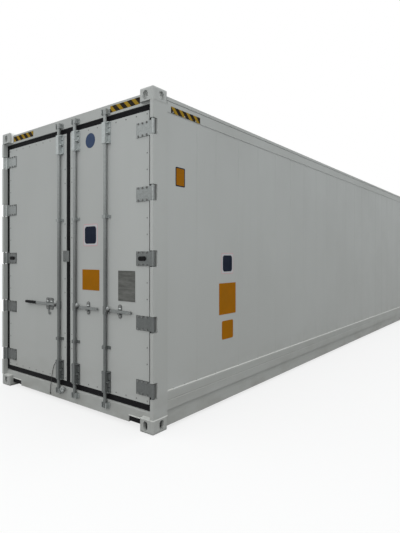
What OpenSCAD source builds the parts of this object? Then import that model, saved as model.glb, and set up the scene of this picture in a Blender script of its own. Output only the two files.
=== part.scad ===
// Insulated forty-foot high-cube shipping container with two rear doors.
// Millimetres. X runs along the length with the doors at -X, Y runs across with the left door at +Y,
// Z is up, and the origin is the middle of the footprint at the underside of the corner fittings.

/* [Overall] */
// Length over the corner fittings
length = 12192; // [6058:1:13716]
// Width over the corner fittings
width = 2438; // [2438:1:2600]
// Height over the corner fittings
height = 2896; // [2700:1:2900]

/* [Corner fittings] */
// Size of a fitting along the container
fitting_l = 178; // [170:1:190]
// Size of a fitting across the container
fitting_w = 162; // [155:1:175]
// Height of a fitting
fitting_h = 118; // [112:1:130]
// Radius of a fitting's upright edges
fitting_edge_r = 20; // [4:1:24]
// Radius of the edges round a fitting's slotted face
fitting_face_r = 24; // [4:1:26]
// Thickness of a fitting's outer side walls
fitting_wall = 26; // [20:1:34]
// Thickness of a fitting's inner side walls
fitting_inner_wall = 10; // [6:1:12]
// Thickness of a fitting's slotted plate
fitting_plate = 28; // [22:1:32]
// Thickness of the plate that meets the post
fitting_back_plate = 12; // [8:1:16]
// Length of the twist-lock slot
slot_l = 124; // [110:0.5:126]
// Width of the twist-lock slot
slot_w = 63.5; // [55:0.5:66]
// Slot centre from the end of the container
slot_inset_l = 103.5; // [100:0.5:105]
// Slot centre from the side of the container
slot_inset_w = 89.5; // [85:0.5:92]
// Height of a lashing hole
hole_h = 76; // [65:1:80]
// Width of a lower lashing hole
hole_w = 50; // [40:1:56]
// Width of an upper lashing hole
upper_hole_w = 60; // [45:1:64]
// Lashing hole centre from the slotted face
hole_inset = 68; // [66:1:72]

/* [Frame] */
// Step from the fittings' faces to the posts
flush_gap = 2; // [1:0.5:4]
// Thickness of a post's outer leg
post_t = 34; // [22:1:40]
// Depth of the rebate that takes the doors
rebate_d = 95; // [90:1:115]
// Width of the stop behind the door seal
stop_w = 36; // [30:1:46]
// Step from the rear face to the header and sill
beam_recess = 45; // [42:1:48]
// Height of the headers
header_h = 100; // [88:1:110]
// Top of the headers below the fittings' top
header_drop = 32; // [20:1:45]
// Height of the header's door stop
header_stop = 31; // [24:1:33]
// Underside of the sills
sill_z = 35; // [30:1:70]
// Top of the sills
sill_top = 175; // [165:1:200]
// Height of the threshold over the sill
threshold_h = 29; // [10:1:32]
// Width of the notch beside each lower fitting
sill_notch_w = 175; // [100:1:250]
// Top of that notch
sill_notch_top = 90; // [80:1:110]
// Slope along the sill's upper edge
sill_slope = 14; // [8:1:20]
// Recess of the front wall and front beams
front_recess = 10; // [5:1:20]
// Thickness of a front post's flange
front_flange_t = 28; // [22:1:32]
// Thickness of the insulated front wall
front_wall_t = 80; // [60:1:100]

/* [Sides and roof] */
// Step from the fittings' faces to the side panels
wall_recess = 8; // [6:1:12]
// Thickness of the insulated side walls
wall_t = 64; // [50:1:70]
// Distance between the side panel seams
seam_pitch = 401.1; // [300:0.1:600]
// First evenly spaced seam from the rear face
seam_start = 882; // [700:1:1000]
// Seam of the end panels from the end faces
end_seam = 584; // [500:1:650]
// Width of a seam
seam_w = 10; // [4:1:16]
// Depth of a seam
seam_d = 2; // [1:0.5:4]
// Underside of the top rails below the fittings' top
top_rail_drop = 180; // [130:1:190]
// Top of a top rail's face below the fittings' top
rail_face_drop = 87; // [45:1:95]
// Top of the roof edge below the fittings' top
roof_drop = 49; // [25:1:60]
// Step from a top rail's face to the roof edge
roof_edge_in = 4; // [2:1:24]
// Height of the groove below the roof edge
groove_h = 8; // [3:1:10]
// Depth of that groove
groove_d = 14; // [6:1:24]
// Step from a top rail's face to the fittings' face
rail_recess = 4; // [2:1:7]
// Crown of the roof below the roof edge
roof_skin_drop = 4; // [2:1:10]
// Clearance of the base over the ground
base_z = 28; // [12:1:40]
// Top of the bottom rails
bottom_rail_top = 170; // [140:1:180]
// Step from the fittings' faces to the bottom rails
bottom_rail_recess = 20; // [9:1:24]
// Plate thickness of the bottom rails
rail_plate = 6; // [4:1:8]
// Top of the kick band
kick_top = 330; // [260:1:340]
// Slope at the top of the kick band
kick_slope = 12; // [6:1:20]
// Crease along the kick band over its lower edge
kick_crease = 80; // [60:1:100]
// Half height of that crease
crease_h = 6; // [3:1:10]
// Depth of that crease
crease_d = 2; // [1:0.5:4]

/* [Floor] */
// Height of the cross members
cross_h = 82; // [60:1:82]
// Flange width of the cross members
cross_w = 45; // [35:1:60]
// Plate thickness of the cross members
cross_plate = 5; // [4:1:7]
// Aimed distance between cross members
cross_pitch = 430; // [350:1:600]
// Height of the floor bars
bar_h = 60; // [40:1:62]
// Distance between floor bars
bar_pitch = 58; // [50:1:70]
// Width of a floor bar's top
bar_w = 34; // [26:1:40]
// Plate thickness of the floor bars
bar_plate = 6; // [4:1:8]

/* [Doors] */
// Step from the rear face to the door skin
door_recess = 45; // [44.5:0.5:52]
// Thickness of a door's outer pan
pan_t = 40; // [34:1:42]
// Thickness of a door's inner plug
plug_t = 45; // [30:1:60]
// Step from the pan to the plug at the edges
plug_in = 14; // [10:1:24]
// Width of the seal zone at the hinge side
seal_side = 52; // [40:1:56]
// Height of the seal zone at the top
seal_top = 53; // [36:1:60]
// Height of the seal zone at the bottom
seal_bottom = 57; // [28:1:62]
// Half width of the seal zone between the doors
seal_centre = 32; // [18:1:36]
// Running clearance round the seals
seal_clear = 5; // [5:0.5:6]
// Step from the door skin to the seal
seal_recess = 6; // [4:1:7]
// Depth of the seals
seal_t = 34; // [26:1:34]
// Width of the plate over the centre seam
lap_w = 96; // [80:1:100]
// Height of that plate
lap_h = 110; // [80:1:120]
// Thickness of that plate
lap_t = 10; // [6:1:11]
// Reach of that plate past the centre line
lap_over = 20; // [10:1:20]
// Rise of that plate over the middle of the doors
lap_rise = 12; // [0:1:24]

/* [Hinges] */
// Hinges on each door
hinge_count = 5; // [3:1:6]
// Distance between hinges
hinge_pitch = 549; // [400:1:560]
// Middle of the end hinges from the ends of a door
hinge_end = 141; // [120:0.5:260]
// Drop of all hinges below even spacing
hinge_drop = 10; // [0:1:40]
// Pin centre from the side and rear faces
pin_inset = 20; // [19:0.5:21]
// Radius of a hinge pin
pin_r = 8; // [6:0.5:9]
// Running clearance of a pin
pin_clear = 0.1; // [0.05:0.05:0.1]
// Outer radius of a hinge knuckle
knuckle_r = 15; // [13:0.5:16]
// Height of a hinge blade
blade_h = 124; // [90:1:130]
// Thickness of a hinge blade
blade_t = 8; // [7:1:10]
// Length of a blade from the pin
blade_l = 219; // [180:1:240]
// Depth of the notch in the post
notch_d = 54; // [52:1:58]
// Clearance over and under a knuckle
notch_clear = 6; // [5:0.5:8]
// Length of the rubber buffer on the middle hinge
buffer_l = 84; // [60:1:90]
// Height of that buffer
buffer_h = 38; // [30:1:50]
// Thickness of that buffer
buffer_t = 10; // [8:1:16]

/* [Lock rods] */
// Radius of a lock rod
rod_r = 16; // [14:0.5:17]
// Running clearance of a rod in its guides
rod_clear = 0.1; // [0.05:0.05:0.1]
// Rod centre from the rear face
rod_d = 23; // [22:0.5:24]
// Inner rods from the centre line
inner_rod_y = 132; // [110:1:160]
// Outer rod from the centre line
outer_rod_y = 587; // [540:1:640]
// Radius of the cam drums
cam_r = 18; // [17.5:0.5:19]
// Height of a cam drum
cam_h = 46; // [40:1:56]
// Middle of the upper cams over the header's underside
upper_cam_rise = 32; // [30:1:50]
// Middle of the lower cams below the sill's top
lower_cam_drop = 49; // [40:1:60]
// Gap between a cam drum and its keeper
keeper_gap = 7; // [5:0.5:10]
// Thickness of a keeper cheek
keeper_t = 9; // [6:1:14]
// Height of a keeper
keeper_h = 50; // [46:1:62]
// Width of a keeper's foot
keeper_foot = 24; // [16:1:30]
// Height of the rod guides
guide_h = 194; // [120:1:200]
// Width of the rod guides
guide_w = 46; // [42:1:56]
// Front of the guides from the rear face
guide_front = 3; // [2:0.5:4]
// Width of a guide's bolting flange
guide_flange = 34; // [28:1:60]
// Thickness of a guide's bolting flange
flange_t = 7; // [5:1:10]
// Ribs between a guide and its flange
rib_n = 3; // [2:1:5]
// Thickness of a rib
rib_t = 8; // [6:1:12]
// Front of the ribs from the rear face
rib_front = 15; // [8:1:24]
// Front of the lip at the flange's edge
lip_front = 36; // [20:1:40]
// Gap from a guide to the top or bottom of the door
guide_inset = 9; // [5:1:40]
// Height of the middle rod bearings
bearing_h = 28; // [20:1:40]
// Width of the middle rod bearings
bearing_w = 112; // [90:1:130]
// Height of the upper bearings
upper_bearing_z = 1844; // [1700:1:2000]
// Height of the lower bearings
lower_bearing_z = 650; // [560:1:720]

/* [Handles] */
// Height of the handles
handle_z = 990; // [960:1:1040]
// Radius of a handle hub
hub_r = 21; // [19:0.5:22]
// Height of a handle hub
hub_h = 74; // [60:1:90]
// Thickness of a hub ear
ear_t = 6; // [5:0.5:7]
// Handle pivot from the rod centre
pivot_y = 48; // [44:1:56]
// Radius of a handle pivot
pivot_r = 6; // [4:0.5:7]
// Height of a handle bar
bar_z = 24; // [18:1:26]
// Thickness of a handle bar
bar_d = 12; // [9:1:13]
// Running clearance of a handle between its ears
ear_clear = 0.5; // [0.3:0.1:1]
// Radius of a handle's eye
eye_r = 14; // [13:0.5:16]
// Length of the right handles from the rod
right_handle_l = 345; // [300:1:380]
// Length of the left handle from the rod
left_handle_l = 614; // [540:1:680]
// Length of the left handle's grip
grip_l = 200; // [150:1:240]
// Radius of that grip
grip_r = 15; // [13:0.5:17]
// Inner right catch from its rod
right_catch_y = 189; // [160:1:240]
// Outer right catch from the middle of the space between its rod and the hinge blades
outer_catch_shift = 13.5; // [0:0.5:40]
// Left catch from its rod
left_catch_y = 184; // [150:1:240]
// Height of a catch plate
catch_h = 122; // [100:1:140]
// Width of a right catch plate
catch_w = 46; // [40:1:56]
// Width of the left catch plate
left_catch_w = 130; // [100:1:150]
// Corner radius of the catch plates
catch_r = 20; // [8:1:20]
// Thickness of a catch plate
catch_t = 6; // [4:1:8]
// Gap under a handle on its catch
catch_clear = 1.5; // [1:0.5:3]
// Thickness of the catch's shelf
shelf_t = 13; // [8:1:18]
// Width of the catch's shelf
shelf_w = 30; // [20:1:38]

/* [Data plate] */
// Width of the blank data plate
plate_w = 216; // [150:1:240]
// Height of the blank data plate
plate_h = 270; // [200:1:300]
// Thickness of the blank data plate
plate_t = 3; // [2:0.5:4]
// Middle of the plate from the centre line
plate_y = 852; // [760:1:870]
// Middle of the plate over the ground
plate_z = 1219; // [1190:1:1300]

/* [Rope] */
// Rope from the rear face
rope_d = 36; // [34:1:40]
// Start of the rope over the middle of the lower guide
rope_rise = 73; // [60:1:90]
// Diameter of the tie-back rope
rope_dia = 6; // [5:0.5:7]
// Length of the knot at its end
knot_l = 18; // [12:1:24]
// Diameter of that knot
knot_dia = 13; // [10:1:16]

/* [Hidden] */
$fn = 64;
overlap = 1;
rope_sides = 8;
half_w = width / 2;
x_rear = -length / 2;
post_y = half_w - flush_gap;
lip_y = post_y - post_t;
stop_y = lip_y - stop_w;
fit_y = half_w - fitting_w;
panel_y = half_w - wall_recess;
room_y = panel_y - wall_t;
rail_y = half_w - rail_recess;
bottom_rail_y = half_w - bottom_rail_recess;
post_base = fitting_h;
post_top = height - fitting_h;
header_top = height - header_drop;
header_z = header_top - header_h;
top_rail_z = height - top_rail_drop;
upper_cam_z = header_z + upper_cam_rise;
lower_cam_z = sill_top - lower_cam_drop;
ceiling_z = header_z - header_stop;
roof_edge_z = height - roof_drop;
threshold_z = sill_top + threshold_h;
floor_base = base_z + cross_h;
bar_base = threshold_z - bar_h;
run_l = length - 2 * fitting_l;
leaf_outer_y = lip_y - seal_side;
leaf_bottom = sill_top + seal_bottom;
leaf_top = header_z - seal_top;
seal_d = door_recess + seal_recess;
pin_y = half_w - pin_inset;
notch_h = blade_h + 2 * notch_clear;
blade_end_y = pin_y - blade_l;
outer_catch_y = (outer_rod_y + blade_end_y) / 2 - outer_catch_shift;
leaf_mid = (leaf_bottom + leaf_top) / 2;
lap_mid = leaf_mid + lap_rise;
hinge_mid = leaf_mid - hinge_drop;
inner_hinge_zs = [for (i = [1 : hinge_count - 2]) hinge_mid + (i - (hinge_count - 1) / 2) * hinge_pitch];
hinge_zs = concat([leaf_bottom + hinge_end - hinge_drop], inner_hinge_zs, [leaf_top - hinge_end - hinge_drop]);
mid_hinge_z = hinge_zs[floor(hinge_count / 2)];
cross_n = floor((run_l - cross_w) / cross_pitch) + 1;
cross_step = (run_l - cross_w) / (cross_n - 1);
bar_n = floor((2 * room_y - bar_w) / bar_pitch) + 1;
seam_n = floor((length - 2 * seam_start) / seam_pitch + 0.5) + 1;
upper_guide_z = leaf_top - guide_inset - guide_h / 2;
lower_guide_z = leaf_bottom + guide_inset + guide_h / 2;
body_white = [0.80, 0.82, 0.80];
steel_grey = [0.60, 0.64, 0.63];
seal_black = [0.04, 0.04, 0.05];

// Route of the rope from the side of the left lower guide: depth, Y and Z from where it leaves.
rope_exit = [rope_d, inner_rod_y + guide_w / 2, lower_guide_z + rope_rise];
rope_way = [
    [0, 0, 0], [0, 10, 0], [0, 20, -1], [0, 34, -6], [0, 48, -15], [0, 61, -27], [0, 73, -42],
    [0, 84, -60], [0, 93, -80], [0, 101, -103], [0, 108, -128], [0, 115, -155], [0, 121, -183],
    [0, 127, -212], [0, 133, -241], [0, 138, -268], [0, 142, -290], [0, 144, -306], [0, 145, -322],
    [0, 145, -340]
];
rope_pts = [for (p = rope_way) rope_exit + p];

// Places children in the rear frame: depth from the rear face, Y and Z.
module rear() {
    translate([x_rear, 0, 0])
        children();
}

// Places children in the front frame, where depth counts back from the front face.
module front() {
    mirror([1, 0, 0])
        translate([x_rear, 0, 0])
            children();
}

// Turns a piece made for the left side, +Y, to the side asked for.
module at_side(side) {
    if (side > 0)
        children();
    else
        mirror([0, 1, 0])
            children();
}

// Box between two corners.
module block(low, high) {
    translate(low)
        cube(high - low);
}

// Outline in Y and Z, drawn as x and y, pushed along the depth.
module along_depth(from, to) {
    translate([from, 0, 0])
        rotate([90, 0, 90])
            linear_extrude(to - from)
                children();
}

// Slot with round ends, its long side along x.
module slot_outline(l, w) {
    square([l - w, w], center = true);
    for (s = [-1, 1])
        translate([s * (l - w) / 2, 0])
            circle(d = w);
}

// Rectangle from the origin with round corners.
module round_rect(l, w, r) {
    translate([r, 0])
        square([l - 2 * r, w]);
    translate([0, r])
        square([l, w - 2 * r]);
    for (x = [r, l - r], y = [r, w - r])
        translate([x, y])
            circle(r);
}

// Rectangle from the origin with its two lower corners round.
module round_foot(l, h, r) {
    translate([0, r])
        square([l, h - r]);
    translate([r, 0])
        square([l - 2 * r, h]);
    for (x = [r, l - r])
        translate([x, r])
            circle(r);
}

// Block of a corner fitting: upright edges and the edges of the slotted face are round.
module fitting_block() {
    intersection() {
        linear_extrude(fitting_h)
            round_rect(fitting_l, fitting_w, fitting_edge_r);
        along_depth(0, fitting_l)
            round_foot(fitting_w, fitting_h, fitting_face_r);
        translate([0, fitting_w, 0])
            rotate([90, 0, 0])
                linear_extrude(fitting_w)
                    round_foot(fitting_l, fitting_h, fitting_face_r);
    }
}

// Corner fitting at the rear left, with its slotted face at the bottom.
module corner_fitting(side_hole_w) {
    inner_l = fitting_l - fitting_wall - fitting_inner_wall;
    inner_w = fitting_w - fitting_wall - fitting_inner_wall;
    translate([x_rear, half_w, 0])
        mirror([0, 1, 0])
            difference() {
                fitting_block();
                translate([fitting_wall, fitting_wall, fitting_plate])
                    cube([inner_l, inner_w, fitting_h - fitting_plate - fitting_back_plate]);
                translate([slot_inset_l, slot_inset_w, -overlap])
                    linear_extrude(fitting_plate + 2 * overlap)
                        slot_outline(slot_l, slot_w);
                translate([slot_inset_l, fitting_wall + overlap, hole_inset])
                    rotate([90, 0, 0])
                        linear_extrude(fitting_wall + 2 * overlap)
                            rotate(90)
                                slot_outline(hole_h, side_hole_w);
                along_depth(-overlap, fitting_wall + overlap)
                    translate([slot_inset_w, hole_inset])
                        rotate(90)
                            slot_outline(hole_h, side_hole_w);
            }
}

// The same fitting at all four corners of one level.
module four_fittings(side_hole_w) {
    for (flip_x = [0, 1], flip_y = [0, 1])
        mirror([flip_x, 0, 0])
            mirror([0, flip_y, 0])
                corner_fitting(side_hole_w);
}

module upper_corner_fittings() {
    color(body_white)
        translate([0, 0, height])
            mirror([0, 0, 1])
                four_fittings(upper_hole_w);
}

module lower_corner_fittings() {
    color(body_white)
        four_fittings(hole_w);
}

// Rear post: an outer leg, and a stop behind the door seal, notched at each hinge.
module rear_post(side) {
    color(body_white)
        rear() at_side(side)
            difference() {
                translate([0, 0, post_base])
                    linear_extrude(post_top - post_base)
                        polygon([
                            [flush_gap, lip_y], [flush_gap, post_y], [fitting_l, post_y],
                            [fitting_l, stop_y], [rebate_d, stop_y], [rebate_d, lip_y]
                        ]);
                for (z = hinge_zs)
                    block([0, lip_y - overlap, z - notch_h / 2],
                          [notch_d, post_y + overlap, z + notch_h / 2]);
            }
}

module left_rear_post() rear_post(1);
module right_rear_post() rear_post(-1);

// Front post: a flange over the front wall's edge and a deep inner leg.
module front_post(side) {
    flange_end = flush_gap + front_flange_t;
    wall_end = flange_end + front_wall_t;
    color(body_white)
        front() at_side(side)
            translate([0, 0, post_base])
                linear_extrude(post_top - post_base)
                    polygon([
                        [flush_gap, fit_y], [flush_gap, post_y], [fitting_l, post_y],
                        [fitting_l, stop_y], [wall_end, stop_y], [wall_end, lip_y],
                        [flange_end, lip_y], [flange_end, fit_y]
                    ]);
}

module left_front_post() front_post(1);
module right_front_post() front_post(-1);

// Door header between the fittings, with a stop behind the door seal. Below the fittings it meets the posts.
module door_header() {
    color(body_white)
        rear() {
            block([beam_recess, -fit_y, header_z], [fitting_l, fit_y, header_top]);
            if (header_z < post_top) {
                block([beam_recess, -lip_y, header_z], [rebate_d, lip_y, post_top]);
                block([rebate_d, -stop_y, header_z], [fitting_l, stop_y, post_top]);
            }
            block([rebate_d, -stop_y, ceiling_z], [fitting_l, stop_y, header_z]);
        }
}

// Outline of the door sill: it drops between notches beside the lower fittings.
module sill_outline(end_y) {
    drop_y = fit_y - sill_notch_w;
    polygon([
        [-end_y, sill_top], [-end_y, fitting_h], [-fit_y, fitting_h], [-fit_y, sill_notch_top],
        [-drop_y, sill_notch_top], [-drop_y, sill_z], [drop_y, sill_z], [drop_y, sill_notch_top],
        [fit_y, sill_notch_top], [fit_y, fitting_h], [end_y, fitting_h], [end_y, sill_top]
    ]);
}

// Door sill, with its upper front edge sloped to shed water.
module door_sill() {
    color(body_white)
        rear()
            difference() {
                union() {
                    along_depth(beam_recess, rebate_d)
                        sill_outline(lip_y);
                    along_depth(rebate_d, fitting_l)
                        sill_outline(stop_y);
                    block([rebate_d, -stop_y, sill_top], [fitting_l, stop_y, threshold_z]);
                }
                translate([0, lip_y + overlap, 0])
                    rotate([90, 0, 0])
                        linear_extrude(2 * (lip_y + overlap))
                            polygon([
                                [beam_recess - overlap, sill_top - sill_slope - overlap],
                                [beam_recess + sill_slope + overlap, sill_top + overlap],
                                [beam_recess - overlap, sill_top + overlap]
                            ]);
            }
}

module front_header() {
    flange_end = flush_gap + front_flange_t;
    wall_end = flange_end + front_wall_t;
    color(body_white)
        front() {
            block([front_recess, -fit_y, header_z], [fitting_l, fit_y, header_top]);
            if (header_z < post_top) {
                block([flange_end, -lip_y, header_z], [wall_end, lip_y, post_top]);
                block([wall_end, -stop_y, header_z], [fitting_l, stop_y, post_top]);
            }
            block([wall_end, -stop_y, ceiling_z], [fitting_l, stop_y, header_z]);
        }
}

module front_sill() {
    flange_end = flush_gap + front_flange_t;
    color(body_white)
        front() {
            block([front_recess, -fit_y, sill_z], [fitting_l, fit_y, sill_top]);
            block([flange_end, -stop_y, fitting_h], [fitting_l, stop_y, sill_top]);
        }
}

// Insulated front wall, held behind the front posts' flanges.
module front_wall() {
    flange_end = flush_gap + front_flange_t;
    color(body_white)
        front()
            block([flange_end, -lip_y, sill_top], [flange_end + front_wall_t, lip_y, header_z]);
}

// Outline in Y and Z, drawn as x and y, pushed over the run between the end frames.
module along_run() {
    rear()
        along_depth(fitting_l, fitting_l + run_l)
            children();
}

// Top rail: a groove parts its face from the folded roof edge.
module top_rail(side) {
    face_top = height - rail_face_drop;
    edge_y = rail_y - roof_edge_in;
    groove_y = rail_y - groove_d;
    color(body_white)
        at_side(side)
            along_run()
                polygon([
                    [room_y, top_rail_z], [rail_y, top_rail_z], [rail_y, face_top],
                    [groove_y, face_top], [groove_y, face_top + groove_h],
                    [edge_y, face_top + groove_h], [edge_y, roof_edge_z], [room_y, roof_edge_z]
                ]);
}

module left_top_rail() top_rail(1);
module right_top_rail() top_rail(-1);

// Bottom rail: a channel that opens to the cross members.
module bottom_rail(side) {
    web_y = bottom_rail_y - rail_plate;
    color(body_white)
        at_side(side)
            along_run()
                polygon([
                    [room_y, base_z], [bottom_rail_y, base_z], [bottom_rail_y, bottom_rail_top],
                    [room_y, bottom_rail_top], [room_y, bottom_rail_top - rail_plate],
                    [web_y, bottom_rail_top - rail_plate], [web_y, base_z + rail_plate],
                    [room_y, base_z + rail_plate]
                ]);
}

module left_bottom_rail() bottom_rail(1);
module right_bottom_rail() bottom_rail(-1);

// Kick bands: a creased plate over the foot of each side wall, sloped at the top to shed water.
module kick_bands() {
    crease_z = bottom_rail_top + kick_crease;
    color(body_white)
        for (side = [-1, 1])
            at_side(side)
                along_run()
                    polygon([
                        [panel_y, bottom_rail_top], [post_y, bottom_rail_top],
                        [post_y, crease_z - crease_h], [post_y - crease_d, crease_z],
                        [post_y, crease_z + crease_h], [post_y, kick_top - kick_slope],
                        [panel_y, kick_top]
                    ]);
}

// Plan of a side wall: the outer skin dips at each seam between two panels.
function seam_points(x) = [
    [x - seam_w / 2, panel_y], [x, panel_y - seam_d], [x + seam_w / 2, panel_y]
];

module side_wall(side) {
    even_seams = [for (i = [0 : seam_n - 1]) seam_start + i * seam_pitch];
    skin = [for (x = concat([end_seam], even_seams, [length - end_seam])) each seam_points(x)];
    color(body_white)
        rear() at_side(side)
            translate([0, 0, bottom_rail_top])
                linear_extrude(top_rail_z - bottom_rail_top)
                    polygon(concat(
                        [[fitting_l, room_y], [fitting_l, panel_y]],
                        skin,
                        [[fitting_l + run_l, panel_y], [fitting_l + run_l, room_y]]
                    ));
}

module left_side_wall() side_wall(1);
module right_side_wall() side_wall(-1);

// Insulated roof between the top rails.
module roof_panel() {
    color(body_white)
        along_run()
            translate([-room_y, ceiling_z])
                square([2 * room_y, roof_edge_z - roof_skin_drop - ceiling_z]);
}

// Insulated floor on the cross members.
module floor_panel() {
    color(steel_grey)
        along_run()
            translate([-room_y, floor_base])
                square([2 * room_y, bar_base - floor_base]);
}

// Outline of one floor bar, from its right foot over the top to its left foot.
function floor_bar(y) = [
    [y + bar_plate / 2, bar_base + bar_plate], [y + bar_plate / 2, threshold_z - bar_plate],
    [y + bar_w / 2, threshold_z - bar_plate], [y + bar_w / 2, threshold_z],
    [y - bar_w / 2, threshold_z], [y - bar_w / 2, threshold_z - bar_plate],
    [y - bar_plate / 2, threshold_z - bar_plate], [y - bar_plate / 2, bar_base + bar_plate]
];

module floor_bars() {
    bars = [for (i = [0 : bar_n - 1]) each floor_bar(((bar_n - 1) / 2 - i) * bar_pitch)];
    color(steel_grey)
        along_run()
            polygon(concat(
                [[-room_y, bar_base + bar_plate], [-room_y, bar_base],
                 [room_y, bar_base], [room_y, bar_base + bar_plate]],
                bars
            ));
}

// Channels across the underside, between the bottom rails.
module cross_members() {
    color(body_white)
        rear()
            for (i = [0 : cross_n - 1])
                translate([fitting_l + i * cross_step, room_y, base_z])
                    rotate([90, 0, 0])
                        linear_extrude(2 * room_y)
                            difference() {
                                square([cross_w, cross_h]);
                                translate([cross_plate, cross_plate])
                                    square([cross_w, cross_h - 2 * cross_plate]);
                            }
}

// Hinge pins, each standing in its notch in a post.
module hinge_pins() {
    color(steel_grey)
        rear()
            for (side = [-1, 1], z = hinge_zs)
                translate([pin_inset, side * pin_y, z - notch_h / 2])
                    cylinder(notch_h, r = pin_r);
}

// Two cheeks beside a cam, open to the rear so that the door can leave.
module cam_keeper(y, z) {
    cheek_y = cam_r + keeper_gap;
    front_d = rod_d - cam_r;
    for (s = [-1, 1])
        translate([0, y, z - keeper_h / 2])
            scale([1, s, 1]) {
                block([front_d, cheek_y, 0], [beam_recess, cheek_y + keeper_t, keeper_h]);
                block([beam_recess - keeper_t, cheek_y, 0],
                      [beam_recess, cheek_y + keeper_foot, keeper_h]);
            }
}

module cam_keepers(z) {
    color(steel_grey)
        rear()
            for (y = [inner_rod_y, -inner_rod_y, -outer_rod_y])
                cam_keeper(y, z);
}

module upper_cam_keepers() cam_keepers(upper_cam_z);
module lower_cam_keepers() cam_keepers(lower_cam_z);

// Door leaf: an outer pan, and an insulated plug that enters the doorway.
module door_leaf(side) {
    pan_end = door_recess + pan_t;
    color(body_white)
        rear() at_side(side) {
            block([door_recess, seal_centre, leaf_bottom], [pan_end, leaf_outer_y, leaf_top]);
            block([pan_end, seal_centre + plug_in, leaf_bottom + plug_in],
                  [pan_end + plug_t, leaf_outer_y - plug_in, leaf_top - plug_in]);
        }
}

module left_door_leaf() door_leaf(1);
module right_door_leaf() door_leaf(-1);

// Rubber seal round the edge of a leaf.
module door_seal(side) {
    rear() at_side(side)
        difference() {
            block([seal_d, seal_clear, sill_top + seal_clear],
                  [seal_d + seal_t, lip_y - seal_clear, header_z - seal_clear]);
            block([seal_d - overlap, seal_centre, leaf_bottom],
                  [seal_d + seal_t + overlap, leaf_outer_y, leaf_top]);
        }
}

module left_door_seal() {
    color(seal_black)
        door_seal(1);
}

// The right seal stops over and under the lap plate, which reaches past the centre line.
module right_door_seal() {
    lap_room = lap_h / 2 + seal_clear;
    color(seal_black)
        difference() {
            door_seal(-1);
            rear()
                block([seal_d - overlap, -lap_over - seal_clear, lap_mid - lap_room],
                      [seal_d + seal_t + overlap, 0, lap_mid + lap_room]);
        }
}

// Hinge blades: a knuckle on the pin, an arm, and a flat plate on the door skin.
module hinge_blades(side) {
    plate_d = door_recess - blade_t;
    arm_y = pin_y - knuckle_r - blade_t / 2;
    color(steel_grey)
        rear() at_side(side)
            for (z = hinge_zs)
                translate([0, 0, z - blade_h / 2])
                    linear_extrude(blade_h)
                        difference() {
                            union() {
                                translate([pin_inset, pin_y])
                                    circle(knuckle_r);
                                polygon([
                                    [pin_inset, pin_y - knuckle_r], [plate_d, arm_y - blade_t],
                                    [door_recess, arm_y - blade_t], [door_recess, arm_y],
                                    [pin_inset + knuckle_r, pin_y]
                                ]);
                                translate([plate_d, blade_end_y])
                                    square([blade_t, arm_y - blade_end_y]);
                            }
                            translate([pin_inset, pin_y])
                                circle(pin_r + pin_clear);
                        }
}

module left_hinge_blades() hinge_blades(1);
module right_hinge_blades() hinge_blades(-1);

// Oval rubber buffer on the middle blade, which meets the side wall when the door is open.
module hinge_buffer(side) {
    face_d = door_recess - blade_t;
    buffer_y = (blade_end_y + leaf_outer_y) / 2;
    color(seal_black)
        rear() at_side(side)
            along_depth(face_d - buffer_t, face_d)
                translate([buffer_y, mid_hinge_z])
                    slot_outline(buffer_l, buffer_h);
}

module left_hinge_buffer() hinge_buffer(1);
module right_hinge_buffer() hinge_buffer(-1);

// Long guide round a rod, with its ribbed flange towards the right door's hinges.
module rod_guide(y, z) {
    bore_r = rod_r + rod_clear;
    translate([0, y, z - guide_h / 2])
        linear_extrude(guide_h)
            difference() {
                union() {
                    translate([guide_front, -guide_w / 2])
                        square([door_recess - guide_front, guide_w]);
                    translate([door_recess - flange_t, -guide_w / 2 - guide_flange])
                        square([flange_t, guide_flange + overlap]);
                    translate([lip_front, -guide_w / 2 - guide_flange])
                        square([door_recess - lip_front, rib_t]);
                }
                translate([rod_d, 0])
                    circle(bore_r);
            }
    for (i = [0 : rib_n - 1])
        translate([0, y - guide_w / 2, z - guide_h / 2 + i * (guide_h - rib_t) / (rib_n - 1)])
            block([rib_front, -guide_flange, 0], [door_recess, 0, rib_t]);
}

// Short bearing strap round a rod, with a foot to each side.
module rod_bearing(y, z) {
    bore_r = rod_r + rod_clear;
    translate([0, y, z - bearing_h / 2])
        linear_extrude(bearing_h)
            difference() {
                union() {
                    translate([guide_front, -guide_w / 2])
                        square([door_recess - guide_front, guide_w]);
                    translate([door_recess - flange_t, -bearing_w / 2])
                        square([flange_t, bearing_w]);
                }
                translate([rod_d, 0])
                    circle(bore_r);
            }
}

module rod_guides(ys) {
    color(steel_grey)
        rear()
            for (y = ys) {
                rod_guide(y, upper_guide_z);
                rod_guide(y, lower_guide_z);
                rod_bearing(y, upper_bearing_z);
                rod_bearing(y, lower_bearing_z);
            }
}

module left_rod_guides() rod_guides([inner_rod_y]);
module right_rod_guides() rod_guides([-inner_rod_y, -outer_rod_y]);

// Catch: a plate on the door with a shelf under the handle, open outwards and upwards.
module handle_catch(y, w) {
    shelf_top = handle_z - bar_z / 2 - catch_clear;
    shelf_front = rod_d - bar_d / 2;
    along_depth(door_recess - catch_t, door_recess)
        translate([y - w / 2, handle_z - catch_h / 2])
            round_rect(w, catch_h, catch_r);
    block([shelf_front, y - shelf_w / 2, shelf_top - shelf_t],
          [door_recess - catch_t, y + shelf_w / 2, shelf_top]);
}

module left_handle_catch() {
    color(steel_grey)
        rear()
            handle_catch(inner_rod_y + left_catch_y, left_catch_w);
}

module right_handle_catches() {
    color(steel_grey)
        rear()
            for (y = [inner_rod_y + right_catch_y, outer_catch_y])
                handle_catch(-y, catch_w);
}

// Plate on the left door that covers the seam between the doors.
module centre_lap_plate() {
    color(steel_grey)
        rear()
            block([door_recess - lap_t, -lap_over, lap_mid - lap_h / 2],
                  [door_recess, lap_w - lap_over, lap_mid + lap_h / 2]);
}

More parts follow.
